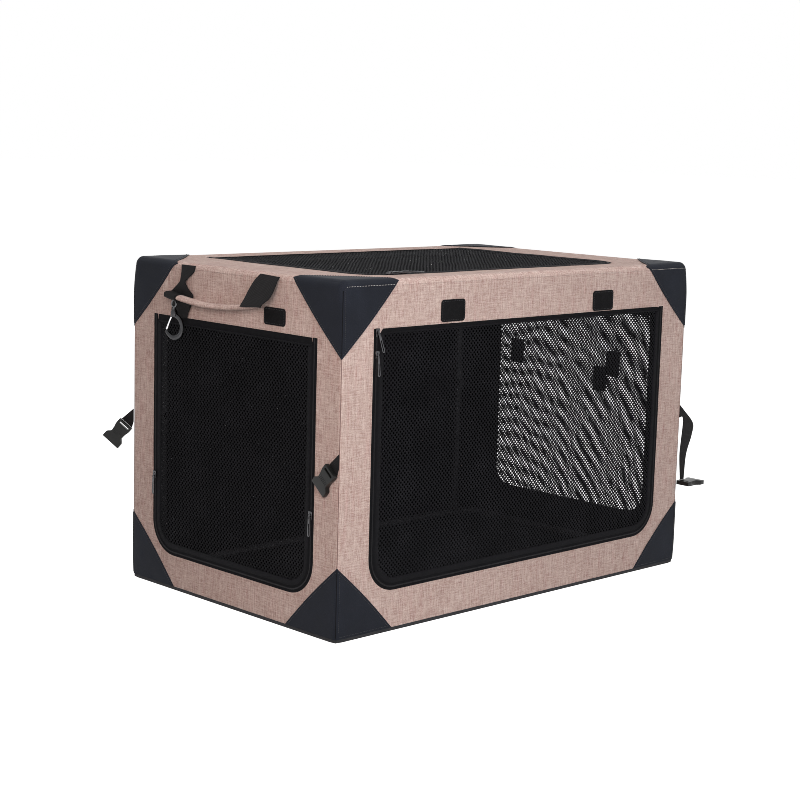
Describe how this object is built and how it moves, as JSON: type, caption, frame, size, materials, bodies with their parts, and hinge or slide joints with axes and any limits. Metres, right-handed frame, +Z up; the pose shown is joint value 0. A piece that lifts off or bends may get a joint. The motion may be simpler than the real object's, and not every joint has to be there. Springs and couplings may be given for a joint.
{
  "type": "folding dog crate",
  "caption": "Box-shaped soft dog crate with a knee-post tube frame that folds flat, netted zip doors, corner patches, side buckle straps and a carry handle with a snap hook.",
  "frame": {"origin": "middle of the floor's underside, on the surface that the crate stands on", "axes": "+X along the crate's length, away from the end with the carry handle; +Z up; the long front faces -Y"},
  "size_m": [0.9954, 0.6436, 0.6035],
  "materials": {
    "pink_linen": "heathered linen-look polyester, matt",
    "floor_cloth": "plain black cloth, matt",
    "corner_leatherette": "coated black cloth, low sheen",
    "black_mesh": "black polyester netting with a bound edge",
    "black_webbing": "black webbing, matt",
    "gloss_plastic": "black moulded plastic, glossy",
    "frame_enamel": "dark grey enamelled steel tube",
    "bright_steel": "bright steel wire",
    "dark_zinc": "dark grey plated zinc casting"
  },
  "bodies": {
    "base": {"base_frame": "frame_enamel", "floor_panel": "floor_cloth", "front_wall": "pink_linen", "rear_wall": "pink_linen", "left_wall": "pink_linen", "right_wall": "pink_linen", "bottom_front_left_patch": "corner_leatherette", "bottom_front_right_patch": "corner_leatherette", "bottom_rear_left_patch": "corner_leatherette", "bottom_rear_right_patch": "corner_leatherette"},
    "left_lower_posts": {"front_left_lower_post": "frame_enamel", "rear_left_lower_post": "frame_enamel"},
    "left_upper_posts": {"front_left_upper_post": "frame_enamel", "rear_left_upper_post": "frame_enamel"},
    "right_lower_posts": {"front_right_lower_post": "frame_enamel", "rear_right_lower_post": "frame_enamel"},
    "right_upper_posts": {"front_right_upper_post": "frame_enamel", "rear_right_upper_post": "frame_enamel"},
    "top": {"top_frame": "frame_enamel", "top_panel": "pink_linen", "top_front_left_patch": "corner_leatherette", "top_front_right_patch": "corner_leatherette", "top_rear_left_patch": "corner_leatherette", "top_rear_right_patch": "corner_leatherette"},
    "front_door": {"front_door": "black_mesh"},
    "left_door": {"left_door": "black_mesh"},
    "right_door": {"right_door": "black_mesh"},
    "top_door": {"top_door": "black_mesh"},
    "handle": {"handle_strap": "pink_linen", "handle_rear_webbing": "black_webbing", "handle_front_webbing": "black_webbing", "hook_eye": "dark_zinc"},
    "hook_body": {"hook_body": "dark_zinc"},
    "hook_gate": {"hook_gate": "bright_steel"},
    "front_left_strap": {"front_left_strap": "black_webbing", "front_left_buckle": "gloss_plastic"},
    "front_right_strap": {"front_right_strap": "black_webbing", "front_right_buckle": "gloss_plastic"},
    "rear_left_strap": {"rear_left_strap": "black_webbing", "rear_left_buckle": "gloss_plastic"},
    "rear_right_strap": {"rear_right_strap": "black_webbing", "rear_right_buckle": "gloss_plastic"},
    "front_slider_1": {"front_slider_1": "dark_zinc"},
    "front_pull_1": {"front_pull_1": "dark_zinc"},
    "front_slider_2": {"front_slider_2": "dark_zinc"},
    "front_pull_2": {"front_pull_2": "dark_zinc"},
    "left_slider_1": {"left_slider_1": "dark_zinc"},
    "left_pull_1": {"left_pull_1": "dark_zinc"},
    "left_slider_2": {"left_slider_2": "dark_zinc"},
    "left_pull_2": {"left_pull_2": "dark_zinc"},
    "right_slider_1": {"right_slider_1": "dark_zinc"},
    "right_pull_1": {"right_pull_1": "dark_zinc"},
    "right_slider_2": {"right_slider_2": "dark_zinc"},
    "right_pull_2": {"right_pull_2": "dark_zinc"},
    "top_slider_1": {"top_slider_1": "dark_zinc"},
    "top_pull_1": {"top_pull_1": "dark_zinc"},
    "top_slider_2": {"top_slider_2": "dark_zinc"},
    "top_pull_2": {"top_pull_2": "dark_zinc"}
  },
  "joints": [
    {"name": "fold", "type": "hinge", "parent": "base", "child": "left_lower_posts", "pos_m": [-0.3962, 0, 0.0303], "axis": [0, -1, 0], "range_deg": [-90, 0], "deforming": ["front_wall", "rear_wall", "left_wall", "right_wall", "front_door", "left_door", "right_door", "bottom_front_left_patch", "bottom_front_right_patch", "bottom_rear_left_patch", "bottom_rear_right_patch", "top_front_left_patch", "top_front_right_patch", "top_rear_left_patch", "top_rear_right_patch", "front_left_strap", "front_left_buckle", "front_right_strap", "front_right_buckle", "rear_left_strap", "rear_left_buckle", "rear_right_strap", "rear_right_buckle", "front_slider_1", "front_pull_1", "front_slider_2", "front_pull_2", "left_slider_1", "left_pull_1", "left_slider_2", "left_pull_2", "right_slider_1", "right_pull_1", "right_slider_2", "right_pull_2"]},
    {"name": "left_knee", "type": "hinge", "parent": "left_lower_posts", "child": "left_upper_posts", "pos_m": [-0.4052, 0, 0.29975], "axis": [0, 1, 0], "range_deg": [-180, 0]},
    {"name": "top_drop", "type": "hinge", "parent": "left_upper_posts", "child": "top", "pos_m": [-0.3962, 0, 0.5692], "axis": [0, 1, 0], "range_deg": [0, 90]},
    {"name": "right_foot", "type": "hinge", "parent": "base", "child": "right_lower_posts", "pos_m": [0.3962, 0, 0.0303], "axis": [0, -1, 0], "range_deg": [0, 90]},
    {"name": "right_knee", "type": "hinge", "parent": "right_lower_posts", "child": "right_upper_posts", "pos_m": [0.4052, 0, 0.29975], "axis": [0, -1, 0], "range_deg": [-180, 0]},
    {"name": "front_door_swing", "type": "hinge", "parent": "base", "child": "front_door", "pos_m": [0, -0.2835, 0.512], "axis": [-1, 0, 0], "range_deg": [0, 120]},
    {"name": "left_door_swing", "type": "hinge", "parent": "base", "child": "left_door", "pos_m": [-0.4511, 0, 0.49], "axis": [0, -1, 0], "range_deg": [0, 85]},
    {"name": "right_door_swing", "type": "hinge", "parent": "base", "child": "right_door", "pos_m": [0.4511, 0, 0.49], "axis": [0, 1, 0], "range_deg": [0, 85]},
    {"name": "top_door_swing", "type": "hinge", "parent": "top", "child": "top_door", "pos_m": [0, 0.2135, 0.5985], "axis": [-1, 0, 0], "range_deg": [0, 170]},
    {"name": "handle_swing", "type": "hinge", "parent": "top", "child": "handle", "pos_m": [-0.4535, 0, 0.5985], "axis": [0, 1, 0], "range_deg": [0, 150]},
    {"name": "hook_swivel", "type": "hinge", "parent": "handle", "child": "hook_body", "pos_m": [-0.467, 0.145, 0.5153], "axis": [0, 0, 1], "range_deg": [-60, 0]},
    {"name": "hook_gate_open", "type": "hinge", "parent": "hook_body", "child": "hook_gate", "pos_m": [-0.4695, 0.14933, 0.5016], "axis": [-0.866, -0.5, 0], "range_deg": [0, 25], "stiffness_Nm_per_rad": 0.004, "springref_deg": -17.19},
    {"name": "front_left_strap_swing", "type": "hinge", "parent": "base", "child": "front_left_strap", "pos_m": [-0.4538, -0.2835, 0.3055], "axis": [0, 0, 1], "range_deg": [0, 150]},
    {"name": "rear_left_strap_swing", "type": "hinge", "parent": "base", "child": "rear_left_strap", "pos_m": [-0.4538, 0.2835, 0.3055], "axis": [0, 0, 1], "range_deg": [-30, 60]},
    {"name": "front_right_strap_swing", "type": "hinge", "parent": "base", "child": "front_right_strap", "pos_m": [0.4538, -0.2835, 0.3055], "axis": [0, 0, 1], "range_deg": [-80, 65]},
    {"name": "rear_right_strap_swing", "type": "hinge", "parent": "base", "child": "rear_right_strap", "pos_m": [0.4538, 0.2835, 0.3055], "axis": [0, 0, 1], "range_deg": [-65, 80]},
    {"name": "front_slider_1_run", "type": "slide", "parent": "base", "child": "front_slider_1", "axis": [0, 0, -1], "range_m": [0, 0.01]},
    {"name": "front_pull_1_swing", "type": "hinge", "parent": "front_slider_1", "child": "front_pull_1", "pos_m": [-0.3763, -0.2885, 0.512], "axis": [-0.9397, 0, -0.342], "range_deg": [0, 150]},
    {"name": "front_slider_2_run", "type": "slide", "parent": "base", "child": "front_slider_2", "axis": [0, 0, -1], "range_m": [0, 0.33]},
    {"name": "front_pull_2_swing", "type": "hinge", "parent": "front_slider_2", "child": "front_pull_2", "pos_m": [-0.3763, -0.2885, 0.475], "axis": [-0.9976, 0, -0.0698], "range_deg": [0, 150]},
    {"name": "left_slider_1_run", "type": "slide", "parent": "base", "child": "left_slider_1", "axis": [0, 0, 1], "range_m": [-0.07, 0.25]},
    {"name": "left_pull_1_swing", "type": "hinge", "parent": "left_slider_1", "child": "left_pull_1", "pos_m": [-0.4585, 0.2163, 0.205], "axis": [0, 1, 0], "range_deg": [0, 150]},
    {"name": "left_slider_2_run", "type": "slide", "parent": "base", "child": "left_slider_2", "axis": [0, 0, 1], "range_m": [-0.07, 0.25]},
    {"name": "left_pull_2_swing", "type": "hinge", "parent": "left_slider_2", "child": "left_pull_2", "pos_m": [-0.4585, -0.2163, 0.205], "axis": [0, 1, 0], "range_deg": [0, 150]},
    {"name": "right_slider_1_run", "type": "slide", "parent": "base", "child": "right_slider_1", "axis": [0, 0, 1], "range_m": [-0.07, 0.25]},
    {"name": "right_pull_1_swing", "type": "hinge", "parent": "right_slider_1", "child": "right_pull_1", "pos_m": [0.4585, -0.2163, 0.205], "axis": [0, -1, 0], "range_deg": [0, 150]},
    {"name": "right_slider_2_run", "type": "slide", "parent": "base", "child": "right_slider_2", "axis": [0, 0, 1], "range_m": [-0.07, 0.25]},
    {"name": "right_pull_2_swing", "type": "hinge", "parent": "right_slider_2", "child": "right_pull_2", "pos_m": [0.4585, 0.2163, 0.205], "axis": [0, -1, 0], "range_deg": [0, 150]},
    {"name": "top_slider_1_run", "type": "slide", "parent": "top", "child": "top_slider_1", "axis": [1, 0, 0], "range_m": [0, 0.01]},
    {"name": "top_pull_1_swing", "type": "hinge", "parent": "top_slider_1", "child": "top_pull_1", "pos_m": [-0.2845, -0.2133, 0.6035], "axis": [-0.766, -0.6428, 0], "range_deg": [0, 150]},
    {"name": "top_slider_2_run", "type": "slide", "parent": "top", "child": "top_slider_2", "axis": [1, 0, 0], "range_m": [0, 0.48]},
    {"name": "top_pull_2_swing", "type": "hinge", "parent": "top_slider_2", "child": "top_pull_2", "pos_m": [-0.2525, -0.2133, 0.6035], "axis": [-0.766, -0.6428, 0], "range_deg": [0, 150]}
  ],
  "couplings": [
    {"joint": "left_knee", "follows": "fold", "ratio": 2},
    {"joint": "top_drop", "follows": "fold", "ratio": -1},
    {"joint": "right_foot", "follows": "fold", "ratio": -1},
    {"joint": "right_knee", "follows": "fold", "ratio": 2}
  ]
}
